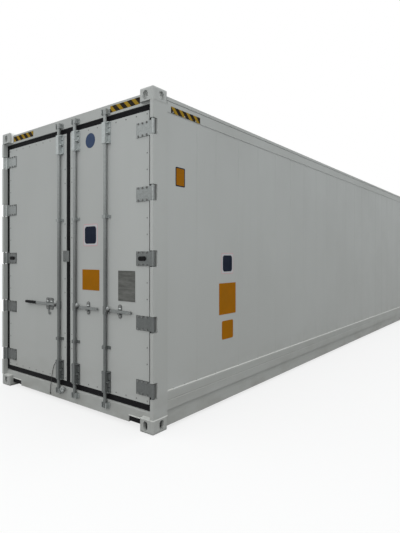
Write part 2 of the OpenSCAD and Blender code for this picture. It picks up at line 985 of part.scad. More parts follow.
// Lock rod: the bar, its cam drums, and the hub with two ears and the handle's pivot.
module lock_rod(y, dir) {
    ear_gap = bar_d + 2 * ear_clear;
    ear_out = ear_gap / 2 + ear_t;
    color(steel_grey)
        rear() translate([rod_d, y, 0]) {
            translate([0, 0, lower_cam_z - cam_h / 2])
                cylinder(upper_cam_z - lower_cam_z + cam_h, r = rod_r);
            for (z = [lower_cam_z, upper_cam_z])
                translate([0, 0, z - cam_h / 2])
                    cylinder(cam_h, r = cam_r);
            translate([0, 0, handle_z - hub_h / 2])
                cylinder(hub_h, r = hub_r);
            for (s = [-1, 1])
                along_depth(s * (ear_out - ear_t / 2) - ear_t / 2, s * (ear_out - ear_t / 2) + ear_t / 2)
                    translate([0, handle_z]) {
                        translate([dir * pivot_y, 0])
                            circle(eye_r);
                        translate([dir * pivot_y / 2, 0])
                            square([pivot_y, 2 * eye_r], center = true);
                    }
            translate([-ear_out, dir * pivot_y, handle_z])
                rotate([0, 90, 0])
                    cylinder(2 * ear_out, r = pivot_r);
        }
}

module left_lock_rod() lock_rod(inner_rod_y, 1);
module right_inner_lock_rod() lock_rod(-inner_rod_y, -1);
module right_outer_lock_rod() lock_rod(-outer_rod_y, -1);

// Flat handle bar with an eye on the hub's pivot.
module handle_bar(y, dir, end_l) {
    tip = end_l - bar_z / 2;
    color(steel_grey)
        rear() translate([rod_d, y, 0])
            along_depth(-bar_d / 2, bar_d / 2)
                translate([0, handle_z])
                    difference() {
                        union() {
                            translate([dir * pivot_y, 0])
                                circle(eye_r);
                            translate([dir * (pivot_y + tip) / 2, 0])
                                square([tip - pivot_y, bar_z], center = true);
                            translate([dir * tip, 0])
                                circle(bar_z / 2);
                        }
                        translate([dir * pivot_y, 0])
                            circle(pivot_r + pin_clear);
                    }
}

module left_handle() {
    grip_y = left_handle_l - grip_l;
    color(steel_grey)
        rear() translate([rod_d, inner_rod_y, 0])
            along_depth(-bar_d / 2, bar_d / 2)
                translate([0, handle_z])
                    difference() {
                        union() {
                            translate([pivot_y, 0])
                                circle(eye_r);
                            translate([pivot_y, -bar_z / 2])
                                square([grip_y - pivot_y, bar_z]);
                        }
                        translate([pivot_y, 0])
                            circle(pivot_r + pin_clear);
                    }
}

module left_handle_grip() {
    color(seal_black)
        rear()
            translate([rod_d, inner_rod_y + left_handle_l - grip_l, handle_z])
                rotate([-90, 0, 0])
                    cylinder(grip_l, r = grip_r);
}

module right_inner_handle() handle_bar(-inner_rod_y, -1, right_handle_l);
module right_outer_handle() handle_bar(-outer_rod_y, -1, right_handle_l);

// Blank plate on the right door.
module data_plate() {
    color("gray")
        rear()
            block([door_recess - plate_t, -plate_y - plate_w / 2, plate_z - plate_h / 2],
                  [door_recess, -plate_y + plate_w / 2, plate_z + plate_h / 2]);
}

// Tube along a route that stays at one depth, with square-cut ends.
function unit(v) = v / norm(v);
function way_dir(p, i) = unit(p[min(i + 1, len(p) - 1)] - p[max(i - 1, 0)]);
function ring(p, i, r, n) =
    let (t = way_dir(p, i), side = [0, -t[2], t[1]])
    [for (k = [0 : n - 1]) p[i] + r * (cos(360 * k / n) * [1, 0, 0] + sin(360 * k / n) * side)];

module tube(p, r, n) {
    m = len(p);
    points = [for (i = [0 : m - 1]) each ring(p, i, r, n)];
    walls = [for (i = [0 : m - 2], k = [0 : n - 1])
        [i * n + k, i * n + (k + 1) % n, (i + 1) * n + (k + 1) % n, (i + 1) * n + k]];
    caps = [[for (k = [n - 1 : -1 : 0]) k], [for (k = [0 : n - 1]) (m - 1) * n + k]];
    polyhedron(points, concat(walls, caps));
}

module tie_rope() {
    color(seal_black)
        rear()
            tube(rope_pts, rope_dia / 2, rope_sides);
}

// Knot at the rope's lower end.
module tie_rope_knot() {
    color(seal_black)
        rear()
            translate(rope_pts[len(rope_pts) - 1] - [0, 0, knot_l])
                cylinder(knot_l, d = knot_dia);
}

upper_corner_fittings();
lower_corner_fittings();
left_rear_post();
right_rear_post();
left_front_post();
right_front_post();
door_header();
door_sill();
front_header();
front_sill();
left_top_rail();
right_top_rail();
left_bottom_rail();
right_bottom_rail();
kick_bands();
left_side_wall();
right_side_wall();
front_wall();
roof_panel();
floor_panel();
floor_bars();
cross_members();
hinge_pins();
upper_cam_keepers();
lower_cam_keepers();
left_door_leaf();
left_door_seal();
left_hinge_blades();
left_hinge_buffer();
left_rod_guides();
left_handle_catch();
centre_lap_plate();
tie_rope();
tie_rope_knot();
right_door_leaf();
right_door_seal();
right_hinge_blades();
right_hinge_buffer();
right_rod_guides();
right_handle_catches();
data_plate();
left_lock_rod();
left_handle();
left_handle_grip();
right_inner_lock_rod();
right_inner_handle();
right_outer_lock_rod();
right_outer_handle();
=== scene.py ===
import math

import bmesh
import bpy
import numpy as np
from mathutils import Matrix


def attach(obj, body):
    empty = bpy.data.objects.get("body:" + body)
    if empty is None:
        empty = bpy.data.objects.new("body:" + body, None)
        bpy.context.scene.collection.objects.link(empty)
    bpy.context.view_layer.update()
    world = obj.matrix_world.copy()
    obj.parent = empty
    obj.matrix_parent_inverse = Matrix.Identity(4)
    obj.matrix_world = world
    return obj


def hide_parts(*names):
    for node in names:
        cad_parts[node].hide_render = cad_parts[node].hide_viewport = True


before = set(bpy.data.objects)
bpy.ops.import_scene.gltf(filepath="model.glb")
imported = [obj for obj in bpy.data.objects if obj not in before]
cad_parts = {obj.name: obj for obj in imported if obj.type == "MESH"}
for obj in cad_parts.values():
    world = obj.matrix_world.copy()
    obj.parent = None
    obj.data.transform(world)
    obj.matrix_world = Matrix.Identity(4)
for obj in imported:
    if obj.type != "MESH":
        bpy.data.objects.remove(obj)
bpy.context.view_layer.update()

# The camera stands right of the doors and level with their middle, and looks along the right side.
# Its lens and shift follow a frame of 400 by 533, with the near corner post left of the middle.
camera = bpy.data.objects.new("camera", bpy.data.cameras.new("camera"))
bpy.context.scene.collection.objects.link(camera)
bpy.context.scene.camera = camera
camera.location = (-8.65686, -3.74230, 1.47961)
camera.rotation_euler = (math.radians(90), 0, math.radians(37.2992 - 90))
camera.data.sensor_fit = "HORIZONTAL"
camera.data.sensor_width = 36
camera.data.lens = 39.1224
camera.data.shift_x = -0.02117
camera.data.shift_y = -0.02500
camera.data.clip_end = 200

# The steel frame: cast corner fittings, folded posts, headers, sills and rails, welded together.
# It is primed and sprayed with one light grey coat, which has run a little and darkens towards the foot,
# partly as grime and partly as painted shade.
# Within their outer walls the upper fittings are pale, which is painted light for the daylight through
# their top slots.
frame_tone = (0.470, 0.484, 0.474, 1)
frame_worn = (0.440, 0.452, 0.440, 1)
frame_grime_and_shade = (0.300, 0.296, 0.276, 1)
low_tone_and_shade = (0.430, 0.441, 0.430, 1)
inside_light_tone = (0.850, 0.860, 0.850, 1)
fitting_in_x = 6.068
fitting_in_y = 1.191
frame_nodes = [
    "upper_corner_fittings", "lower_corner_fittings", "left_rear_post", "right_rear_post",
    "left_front_post", "right_front_post", "door_header", "door_sill", "front_header", "front_sill",
    "left_top_rail", "right_top_rail", "left_bottom_rail", "right_bottom_rail", "kick_bands",
]


def shade(tree, kind, inputs, **settings):
    """Adds one shader node: a socket among the inputs is linked, any other value is set on it."""
    node = tree.nodes.new(kind)
    for key, value in settings.items():
        setattr(node, key, value)
    for key, value in inputs.items():
        if isinstance(value, bpy.types.NodeSocket):
            tree.links.new(value, node.inputs[key])
        else:
            node.inputs[key].default_value = value
    return node


def new_finish(name, metallic, specular):
    """Starts a finish and gives it with its tree, its shader and the object coordinates."""
    finish = bpy.data.materials.new(name)
    finish.use_nodes = True
    tree = finish.node_tree
    shader = tree.nodes["Principled BSDF"]
    shader.inputs["Metallic"].default_value = metallic
    shader.inputs["Specular IOR Level"].default_value = specular
    place = tree.nodes.new("ShaderNodeTexCoord").outputs["Object"]
    return finish, tree, shader, place


def spread(tree, value, from_low, from_high, to_low, to_high):
    """A value moved from one range to another."""
    node = shade(tree, "ShaderNodeMapRange", {
        "Value": value, "From Min": from_low, "From Max": from_high, "To Min": to_low, "To Max": to_high,
    }, clamp=True)
    return node.outputs[0]


def noise(tree, place, stretch, detail, low, high):
    """Noise over object coordinates times a stretch for each axis, spread from low-high to 0-1."""
    scaled = shade(tree, "ShaderNodeMapping", {"Vector": place, "Scale": stretch})
    grain = shade(tree, "ShaderNodeTexNoise",
                  {"Vector": scaled.outputs[0], "Scale": 1.0, "Detail": detail, "Roughness": 0.55})
    return spread(tree, grain.outputs[0], low, high, 0.0, 1.0)


def blend_tones(tree, share, first, second):
    """Colour that goes from the first to the second with the share."""
    node = shade(tree, "ShaderNodeMix", {0: share, 6: first, 7: second}, data_type="RGBA")
    return node.outputs[2]


def times(tree, first, second):
    """Product of two shares."""
    return shade(tree, "ShaderNodeMath", {0: first, 1: second}, operation="MULTIPLY").outputs[0]


def sprayed_coat(name, tone, worn, grime_and_shade, dark_foot_top, ripple):
    """Sprayed paint: broad patches, thin runs down the face, painted shade that deepens towards the bottom,
    patches of grime and painted shade at the foot, an orange-peel bump, and a slow ripple of the sheet
    below it."""
    finish, tree, shader, place = new_finish(name, 0.0, 0.04)
    patches = noise(tree, place, (0.9, 0.9, 0.7), 3.0, 0.35, 0.7)
    runs = noise(tree, place, (9.0, 9.0, 0.35), 4.0, 0.52, 0.80)
    coat = blend_tones(tree, patches, tone, worn)
    coat = blend_tones(tree, times(tree, runs, 0.6), coat, worn)
    # Painted shade: the coat darkens towards the bottom, and grime mixed with painted shade darkens its
    # foot.
    height = shade(tree, "ShaderNodeSeparateXYZ", {0: place}).outputs[2]
    coat = blend_tones(tree, spread(tree, height, 0.3, 2.5, 0.30, 0.0), coat, grime_and_shade)
    foot = spread(tree, height, 0.0, dark_foot_top, 0.7, 0.0)
    smear = noise(tree, place, (3.0, 3.0, 6.0), 6.0, 0.42, 0.68)
    coat = blend_tones(tree, times(tree, foot, smear), coat, grime_and_shade)
    tree.links.new(coat, shader.inputs["Base Color"])
    gloss = noise(tree, place, (4.0, 4.0, 4.0), 4.0, 0.3, 0.7)
    tree.links.new(spread(tree, gloss, 0.0, 1.0, 0.50, 0.64), shader.inputs["Roughness"])
    peel = noise(tree, place, (260.0, 260.0, 260.0), 2.0, 0.2, 0.8)
    wave = noise(tree, place, (1.6, 1.6, 0.9), 1.0, 0.2, 0.8)
    fine = shade(tree, "ShaderNodeBump", {"Strength": 0.25, "Distance": 0.0004, "Height": peel})
    broad = shade(tree, "ShaderNodeBump",
                  {"Strength": 1.0, "Distance": ripple, "Height": wave, "Normal": fine.outputs[0]})
    tree.links.new(broad.outputs[0], shader.inputs["Normal"])
    return finish


def reopened(finish):
    """A finish to lay one more tone on: its tree, its colour socket and the object coordinates."""
    tree = finish.node_tree
    place = tree.nodes.new("ShaderNodeTexCoord").outputs["Object"]
    return tree, tree.nodes["Principled BSDF"].inputs["Base Color"], place


def coat_nodes(names, finish):
    """Gives a finish to each of these solids."""
    for name in names:
        for material_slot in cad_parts[name].material_slots:
            material_slot.material = finish


frame_paint = sprayed_coat("frame_paint", frame_tone, frame_worn, frame_grime_and_shade, 0.40, 0.002)
coat_nodes(frame_nodes, frame_paint)
# A darker coat on the kick bands and bottom rails; on the bottom rails, which sit back under the kick band,
# it is painted shade.
low_paint_and_shade = sprayed_coat("low_frame_paint_and_shade", low_tone_and_shade, frame_worn, frame_grime_and_shade, 0.40, 0.002)
coat_nodes(["kick_bands", "left_bottom_rail", "right_bottom_rail"], low_paint_and_shade)
fitting_paint_lit_inside = sprayed_coat("fitting_paint_lit_inside", frame_tone, frame_worn, frame_grime_and_shade, 0.40, 0.002)
# Painted light: inside the upper fittings the coat turns pale, for the daylight through their top slots.
tree, fitting_coat, place = reopened(fitting_paint_lit_inside)
beside = shade(tree, "ShaderNodeVectorMath", {0: place}, operation="ABSOLUTE").outputs[0]
beside = shade(tree, "ShaderNodeSeparateXYZ", {0: beside}).outputs
inside = times(tree, spread(tree, beside[0], fitting_in_x, fitting_in_x + 0.002, 1.0, 0.0),
               spread(tree, beside[1], fitting_in_y, fitting_in_y + 0.002, 1.0, 0.0))
tree.links.new(blend_tones(tree, inside, fitting_coat.links[0].from_socket, inside_light_tone), fitting_coat)
coat_nodes(["upper_corner_fittings"], fitting_paint_lit_inside)

# The floor: extruded aluminium bars with air ways between them, on a foamed board.
# The bars are welded side by side, and the channels below them carry a near-black coat, which is painted
# shade under the floor.
bar_tone = (0.560, 0.570, 0.580, 1)
bar_scratch = (0.350, 0.360, 0.370, 1)
shade_wax_tone = (0.020, 0.020, 0.019, 1)
shade_wax_dust = (0.050, 0.047, 0.042, 1)

floor_aluminium, tree, shader, place = new_finish("floor_aluminium", 0.9, 0.5)
scratches = noise(tree, place, (1.2, 160.0, 160.0), 5.0, 0.45, 0.65)
tree.links.new(blend_tones(tree, scratches, bar_tone, bar_scratch), shader.inputs["Base Color"])
tree.links.new(spread(tree, scratches, 0.0, 1.0, 0.32, 0.50), shader.inputs["Roughness"])
coat_nodes(["floor_bars"], floor_aluminium)

# Painted shade: the board and cross members are near black, for the shadow seen through the sill's notches.
under_wax_shade, tree, shader, place = new_finish("under_wax_shade", 0.0, 0.2)
splash = noise(tree, place, (2.2, 2.2, 2.2), 6.0, 0.45, 0.70)
tree.links.new(blend_tones(tree, splash, shade_wax_tone, shade_wax_dust), shader.inputs["Base Color"])
tree.links.new(spread(tree, splash, 0.0, 1.0, 0.55, 0.80), shader.inputs["Roughness"])
coat_nodes(["floor_panel", "cross_members"], under_wax_shade)

# The insulated walls, roof and door leaves: foam between coated steel sheets.
# The sheets are flat to the eye, with a slow ripple and faint runs of dust.
# Its third tone darkens the sheets towards the foot, partly as grime and partly as painted shade.
panel_paint = sprayed_coat("panel_paint", (0.474, 0.488, 0.480, 1), (0.446, 0.458, 0.449, 1),
                           (0.360, 0.356, 0.336, 1), 0.60, 0.004)
coat_nodes(["left_side_wall", "right_side_wall", "front_wall", "roof_panel",
            "left_door_leaf", "right_door_leaf"], panel_paint)

# Screws over the kick band and rivets along the lower edge of each top rail.
# The screws sit at the wall's seams and the rivets at even steps, and all are painted with the frame.
rear_x = -6.096
skin_x = rear_x + 0.045
wall_y = 1.211
rail_y = 1.215
screw_z = 0.343
rivet_z = 2.728
hands = ((1, "left"), (-1, "right"))
seam_runs = np.concatenate([[0.257, 0.410, 0.584], 0.882 + 0.4011 * np.arange(27), [11.608, 11.90]])
rivet_runs = np.linspace(0.25, 11.94, 76)
side_faces = {hand: np.array([[1, 0, 0], [0, 0, 1], [0, hand, 0]]) for hand in (1, -1)}
rear_face = np.array([[0, 1, 0], [0, 0, 1], [-1, 0, 0]])


def grid_quads(rows, columns, join_rows=False):
    """Quads between neighbouring rows of a grid whose last column joins its first;
    with join_rows the last row joins the first row too."""
    i = np.arange(rows if join_rows else rows - 1)[:, None]
    j = np.arange(columns)[None, :]
    down = (i + 1) % rows
    right = (j + 1) % columns
    corners = [i * columns + j, i * columns + right, down * columns + right, down * columns + j]
    return np.stack(corners, axis=-1).reshape(-1, 4)


def closed_rings(points):
    """Points of shape rings by sides by 3 as one closed shell: quads between the rings,
    and a flat cap on the first and the last ring."""
    rings, sides = points.shape[:2]
    ends = np.stack([np.arange(sides)[::-1], (rings - 1) * sides + np.arange(sides)])
    return points.reshape(-1, 3), [grid_quads(rings, sides), ends]


def turned(profile, sides):
    """Profile of radius and height turned about the third axis, with equal steps of angle."""
    profile = np.asarray(profile, float)
    angle = 2 * np.pi * np.arange(sides) / sides
    ring = np.stack([np.cos(angle), np.sin(angle)], axis=-1)
    flat = profile[:, 0, None, None] * ring[None]
    high = np.broadcast_to(profile[:, 1, None, None], flat.shape[:2] + (1,))
    return closed_rings(np.concatenate([flat, high], axis=-1))


def set_at(shape, places, basis):
    """Copies of a shape, turned to a face's across, up and out directions, one at each place."""
    points, faces = shape
    places = np.asarray(places, float).reshape(-1, 1, 3)
    moved = places + (points @ basis)[None]
    steps = len(points) * np.arange(len(places))[:, None, None]
    copied = [(f[None] + steps).reshape(-1, f.shape[1]) for f in faces]
    return moved.reshape(-1, 3), copied


def joined(shapes):
    """Several shapes as one, with each one's faces moved on by the points before it."""
    counts = np.cumsum([0] + [len(points) for points, faces in shapes])
    faces = [f + start for (points, own), start in zip(shapes, counts) for f in own]
    return np.concatenate([points for points, own in shapes]), faces


def make_piece(name, shape, finish, body):
    """One piece from points and faces: normals turned outwards, edges over 35 degrees kept sharp."""
    points, faces = shape
    mesh = bpy.data.meshes.new(name)
    mesh.from_pydata(points.tolist(), [], [face for group in faces for face in group.tolist()])
    work = bmesh.new()
    work.from_mesh(mesh)
    bmesh.ops.recalc_face_normals(work, faces=work.faces)
    work.to_mesh(mesh)
    work.free()
    mesh.polygons.foreach_set("use_smooth", np.ones(len(mesh.polygons), bool))
    mesh.set_sharp_from_angle(angle=math.radians(35))
    mesh.materials.append(finish)
    piece = bpy.data.objects.new(name, mesh)
    bpy.context.scene.collection.objects.link(piece)
    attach(piece, body)
    return piece


def domed_head(radius, height):
    """Rivet or screw head: a short rim, then a dome in two steps to a small flat."""
    return turned([(radius, -0.001), (radius, 0.25 * height), (0.82 * radius, 0.70 * height),
                   (0.45 * radius, height)], 10)


def in_rows(x, y, z):
    """All combinations of the three lists as rows of points."""
    return np.stack(np.meshgrid(x, y, z, indexing="ij"), axis=-1).reshape(-1, 3)


for hand, side_name in hands:
    spots = in_rows(rear_x + seam_runs, [hand * wall_y], [screw_z])
    screws = set_at(domed_head(0.009, 0.005), spots, side_faces[hand])
    make_piece(side_name + "_kick_band_screws", screws, frame_paint, "box")
    spots = in_rows(rear_x + rivet_runs, [hand * rail_y], [rivet_z])
    rivets = set_at(domed_head(0.006, 0.0025), spots, side_faces[hand])
    make_piece(side_name + "_top_rail_rivets", rivets, frame_paint, "box")

# Sealant where the kick band's sloped top meets the side wall.
# It is a bead from a gun, smoothed by hand along the whole run, with a pale tone that is a painted
# highlight.
sealant_highlight_tone = (0.620, 0.630, 0.610, 1)
sealant_highlight_dull = (0.560, 0.560, 0.530, 1)
# Painted highlight: the pale tone stands in for the bright line along the kick band's top.
sealant_highlight, tree, shader, place = new_finish("pale_sealant_highlight", 0.0, 0.3)
lumps = noise(tree, place, (16.0, 16.0, 16.0), 3.0, 0.35, 0.70)
tree.links.new(blend_tones(tree, lumps, sealant_highlight_tone, sealant_highlight_dull), shader.inputs["Base Color"])
tree.links.new(spread(tree, lumps, 0.0, 1.0, 0.45, 0.60), shader.inputs["Roughness"])
bead_y = 1.2105
bead_z = 0.329
bead_deep = 0.0065
bead_turn = np.linspace(0, np.pi / 2, 6)
bead_out = np.concatenate([[0.0, bead_deep], bead_deep * np.cos(bead_turn[1:])])
bead_up = np.concatenate([[-0.002, -0.002], 0.008 * np.sin(bead_turn[1:])])
run_ends = np.array([rear_x + 0.178, -rear_x - 0.178])
for hand, side_name in hands:
    bead = np.zeros((2, len(bead_out), 3))
    bead[..., 0] = run_ends[:, None]
    bead[..., 1] = hand * (bead_y + bead_out)
    bead[..., 2] = bead_z + bead_up
    make_piece(side_name + "_kick_band_bead", closed_rings(bead), sealant_highlight, "box")

# Striped films on the header and on the top rails beside the doors, which mark the height.
# They are printed in black and yellow, rolled on by hand, and a little dusty.
film_yellow = (0.325, 0.200, 0.016, 1)
film_black = (0.022, 0.017, 0.012, 1)
film_dust = (0.200, 0.160, 0.080, 1)
header_film_z = 2.8170
rail_film_z = 2.7465
rail_film_x = rear_x + 0.4250


def round_outline(width, height, radius):
    """Rectangle with round corners: four quarter arcs about the corner centres, seven points each."""
    angle = (np.arange(4)[:, None] + np.linspace(0, 1, 7)[None, :]) * np.pi / 2
    across = (width / 2 - radius) * np.array([1, -1, -1, 1])[:, None] + radius * np.cos(angle)
    up = (height / 2 - radius) * np.array([1, 1, -1, -1])[:, None] + radius * np.sin(angle)
    return np.stack([across, up], axis=-1).reshape(-1, 2)


def flat_plate(width, height, radius, thick):
    """Plate with round corners: its outline at the back, again below the face, and drawn in by a
    third of the thickness at the face."""
    ease = thick / 3
    rings = [round_outline(width, height, radius), round_outline(width, height, radius),
             round_outline(width - 2 * ease, height - 2 * ease, radius - ease)]
    rise = np.array([-0.0004, thick - ease, thick])
    high = np.broadcast_to(rise[:, None, None], (3, 28, 1))
    return closed_rings(np.concatenate([np.stack(rings), high], axis=-1))


def striped_film(name, along, lean, period, start):
    """Film with slanted bands: the sum of one axis and the height times the lean, cut at each period."""
    finish, tree, shader, place = new_finish(name, 0.0, 0.03)
    parts = shade(tree, "ShaderNodeSeparateXYZ", {0: place}).outputs
    slant = shade(tree, "ShaderNodeMath", {0: parts[2], 1: lean, 2: parts[along]},
                  operation="MULTIPLY_ADD")
    turns = shade(tree, "ShaderNodeMath", {0: slant.outputs[0], 1: 1 / period, 2: start},
                  operation="MULTIPLY_ADD")
    step = shade(tree, "ShaderNodeMath", {0: turns.outputs[0]}, operation="FRACT")
    band = spread(tree, step.outputs[0], 0.44, 0.46, 0.0, 1.0)
    print_tone = blend_tones(tree, band, film_yellow, film_black)
    dust = noise(tree, place, (30.0, 30.0, 30.0), 5.0, 0.55, 0.80)
    tone = blend_tones(tree, times(tree, dust, 0.35), print_tone, film_dust)
    tree.links.new(tone, shader.inputs["Base Color"])
    tree.links.new(spread(tree, dust, 0.0, 1.0, 0.50, 0.70), shader.inputs["Roughness"])
    return finish


header_film = striped_film("header_film", 1, -1.0, 0.100, 0.02)
rail_film = striped_film("rail_film", 0, 1.0, 0.100, 0.0)
for name, low, high in (("left_header_stripes", 0.637, 1.041), ("right_header_stripes", -1.020, -0.634)):
    spot = [skin_x, (low + high) / 2, header_film_z]
    film = set_at(flat_plate(high - low, 0.059, 0.003, 0.0008), spot, rear_face)
    make_piece(name, film, header_film, "box")
for hand, side_name in hands:
    spot = [rail_film_x, hand * rail_y, rail_film_z]
    film = set_at(flat_plate(0.404, 0.056, 0.003, 0.0008), spot, side_faces[hand])
    make_piece(side_name + "_rail_stripes", film, rail_film, "box")

# Bare plates on the right side wall and on the right door, where notices are glued on such a box.
# They are thin plastic, two of them dark on a pale one, one round, and all without print.
plate_orange = (0.335, 0.124, 0.002, 1)
plate_orange_faded = (0.290, 0.116, 0.004, 1)
plate_navy = (0.011, 0.015, 0.029, 1)
plate_navy_faded = (0.016, 0.021, 0.036, 1)
plate_pale = (0.510, 0.510, 0.530, 1)
plate_pale_dull = (0.480, 0.476, 0.490, 1)
plate_pink = (0.560, 0.330, 0.340, 1)
plate_pink_faded = (0.540, 0.400, 0.400, 1)
badge_blue = (0.042, 0.066, 0.130, 1)
badge_blue_faded = (0.062, 0.088, 0.155, 1)


def faded_plastic(name, tone, faded):
    """Plastic sheet that the sun has faded in soft clouds, with fine scratches in its gloss."""
    finish, tree, shader, place = new_finish(name, 0.0, 0.03)
    clouds = noise(tree, place, (9.0, 9.0, 9.0), 4.0, 0.35, 0.70)
    tree.links.new(blend_tones(tree, clouds, tone, faded), shader.inputs["Base Color"])
    scuffs = noise(tree, place, (60.0, 60.0, 14.0), 4.0, 0.40, 0.70)
    tree.links.new(spread(tree, scuffs, 0.0, 1.0, 0.45, 0.65), shader.inputs["Roughness"])
    return finish


orange_plastic = faded_plastic("orange_plastic", plate_orange, plate_orange_faded)
navy_plastic = faded_plastic("navy_plastic", plate_navy, plate_navy_faded)
pale_plastic = faded_plastic("pale_plastic", plate_pale, plate_pale_dull)
pink_plastic = faded_plastic("pink_plastic", plate_pink, plate_pink_faded)
blue_plastic = faded_plastic("blue_plastic", badge_blue, badge_blue_faded)
side_plates = [
    ("side_small_plate_edge", navy_plastic, 0.3500, 2.181, 0.126, 0.170, 0.012, 0.0010),
    ("side_small_plate", orange_plastic, 0.3500, 2.181, 0.106, 0.150, 0.008, 0.0018),
    ("side_pink_edge", pink_plastic, 1.080, 1.4090, 0.211, 0.211, 0.016, 0.0008),
    ("side_pale_plate", pale_plastic, 1.080, 1.4090, 0.198, 0.198, 0.012, 0.0014),
    ("side_navy_plate", navy_plastic, 1.080, 1.4090, 0.164, 0.164, 0.030, 0.0022),
    ("side_orange_plate", orange_plastic, 1.083, 1.053, 0.295, 0.316, 0.006, 0.0012),
    ("side_lower_orange_plate", orange_plastic, 1.083, 0.737, 0.199, 0.187, 0.018, 0.0012),
]
for name, finish, run, height, width, tall, radius, thick in side_plates:
    plate = set_at(flat_plate(width, tall, radius, thick), [rear_x + run, -wall_y, height], side_faces[-1])
    make_piece(name, plate, finish, "box")
door_plates = [
    ("door_pink_edge", pink_plastic, -0.3492, 1.6834, 0.212, 0.210, 0.016, 0.0008),
    ("door_pale_plate", pale_plastic, -0.3492, 1.6834, 0.198, 0.196, 0.012, 0.0014),
    ("door_navy_plate", navy_plastic, -0.3492, 1.6834, 0.170, 0.165, 0.030, 0.0022),
    ("door_orange_plate", orange_plastic, -0.3531, 1.2578, 0.256, 0.196, 0.006, 0.0012),
    ("door_round_plate", blue_plastic, -0.3457, 2.5812, 0.142, 0.142, 0.0705, 0.0012),
]
for name, finish, across, height, width, tall, radius, thick in door_plates:
    plate = set_at(flat_plate(width, tall, radius, thick), [skin_x, across, height], rear_face)
    make_piece(name, plate, finish, "right_door")

# Cover strips over the joints of the roof, the front wall and the doors' inner sheets.
# They are folded from the same coated sheet and glued down over the foam's seams.
# Rivets hold the front wall's sheet round its edge.
doors = ((1, "left_door"), (-1, "right_door"))
roof_face = np.eye(3)
front_face = np.array([[0, -1, 0], [0, 0, 1], [1, 0, 0]])
roof_top = 2.843
front_x = 6.066
front_middle = 1.4695
leaf_back_x = rear_x + 0.130
leaf_middle = 1.4715
roof_spots = in_rows(np.arange(-4.8, 4.9, 1.2), [0], [roof_top])
roof_strips = set_at(flat_plate(0.060, 2.270, 0.004, 0.0025), roof_spots, roof_face)
make_piece("roof_strips", roof_strips, panel_paint, "box")
strip_spots = in_rows([front_x], [-0.6, 0, 0.6], [front_middle])
front_strips = set_at(flat_plate(0.060, 2.560, 0.004, 0.0025), strip_spots, front_face)
make_piece("front_wall_strips", front_strips, panel_paint, "box")
front_spots = np.concatenate([in_rows([front_x], np.linspace(-1.02, 1.02, 18), [0.215, 2.735]),
                              in_rows([front_x], [-1.02, 1.02], np.linspace(0.335, 2.615, 20))])
make_piece("front_wall_rivets", set_at(domed_head(0.007, 0.003), front_spots, front_face), panel_paint,
           "box")
for hand, door in doors:
    places = in_rows([leaf_back_x], hand * np.array([0.30, 0.5815, 0.86]), [leaf_middle])
    ribs = set_at(flat_plate(0.070, 2.330, 0.006, 0.007), places, front_face)
    make_piece(door + "_inner_ribs", ribs, panel_paint, door)

# Scuff liners along the foot of the inner walls, where pallets and trucks rub.
# Each is one aluminium extrusion with rounded ribs, riveted to the wall over the floor bars.
liner_ends = np.array([rear_x + 0.180, 5.984])
inner_wall_y = 1.147
floor_top = 0.206
liner_up = np.linspace(0, 0.240, 49)
liner_in = 0.0022 + 0.0016 * np.cos(2 * np.pi * liner_up / 0.040)
liner_back = [[-0.0004, 0.240], [-0.0004, 0.0]]
liner_profile = np.concatenate([np.stack([liner_in, liner_up], axis=-1), liner_back])
for hand, side_name in hands:
    liner = np.zeros((2, len(liner_profile), 3))
    liner[..., 0] = liner_ends[:, None]
    liner[..., 1] = hand * (inner_wall_y - liner_profile[:, 0])
    liner[..., 2] = floor_top + liner_profile[:, 1]
    make_piece(side_name + "_scuff_liner", closed_rings(liner), floor_aluminium, "box")

# The data plate: a sheet of aluminium, etched grey all over and left without print.
# Four rivets hold it to the right door's skin.
plate_etch = (0.080, 0.082, 0.076, 1)
plate_bright = (0.124, 0.126, 0.118, 1)
plate_aluminium, tree, shader, place = new_finish("plate_aluminium", 0.2, 0.3)
etch = noise(tree, place, (8.0, 8.0, 46.0), 4.0, 0.40, 0.68)
tree.links.new(blend_tones(tree, etch, plate_etch, plate_bright), shader.inputs["Base Color"])
tree.links.new(spread(tree, etch, 0.0, 1.0, 0.60, 0.45), shader.inputs["Roughness"])
coat_nodes(["data_plate"], plate_aluminium)
corners = in_rows([rear_x + 0.042], [-0.757, -0.947], [1.097, 1.341])
make_piece("data_plate_rivets", set_at(domed_head(0.005, 0.003), corners, rear_face), plate_aluminium,
           "right_door")

# Rivets round the edge of each door, which hold the outer sheet to the leaf's frame.
# They are steel with a dull zinc coat, darker than the paint.
# None sits under a hinge, a rod guide or the lap plate.
rivet_dull = (0.210, 0.215, 0.210, 1)
rivet_dark = (0.120, 0.123, 0.120, 1)
hinge_heights = np.array([0.363, 0.9125, 1.4615, 2.0105, 2.560])
lap_z = 1.4835
rod_places = {"left_door": np.array([0.132]), "right_door": np.array([-0.132, -0.587])}
dull_zinc_and_shade, tree, shader, place = new_finish("dull_zinc_and_shade", 0.5, 0.4)
stain = noise(tree, place, (70.0, 70.0, 70.0), 3.0, 0.35, 0.70)
tree.links.new(blend_tones(tree, stain, rivet_dull, rivet_dark), shader.inputs["Base Color"])
tree.links.new(spread(tree, stain, 0.0, 1.0, 0.40, 0.60), shader.inputs["Roughness"])
row_y = np.linspace(0.056, 1.107, 9)
column_z = (hinge_heights[:-1] + hinge_heights[1:])[:, None] / 2 + np.array([-0.07, 0.07])
edge = np.concatenate([in_rows([skin_x], row_y, [0.258, 2.685]),
                       in_rows([skin_x], row_y[[0, -1]], column_z.ravel())])
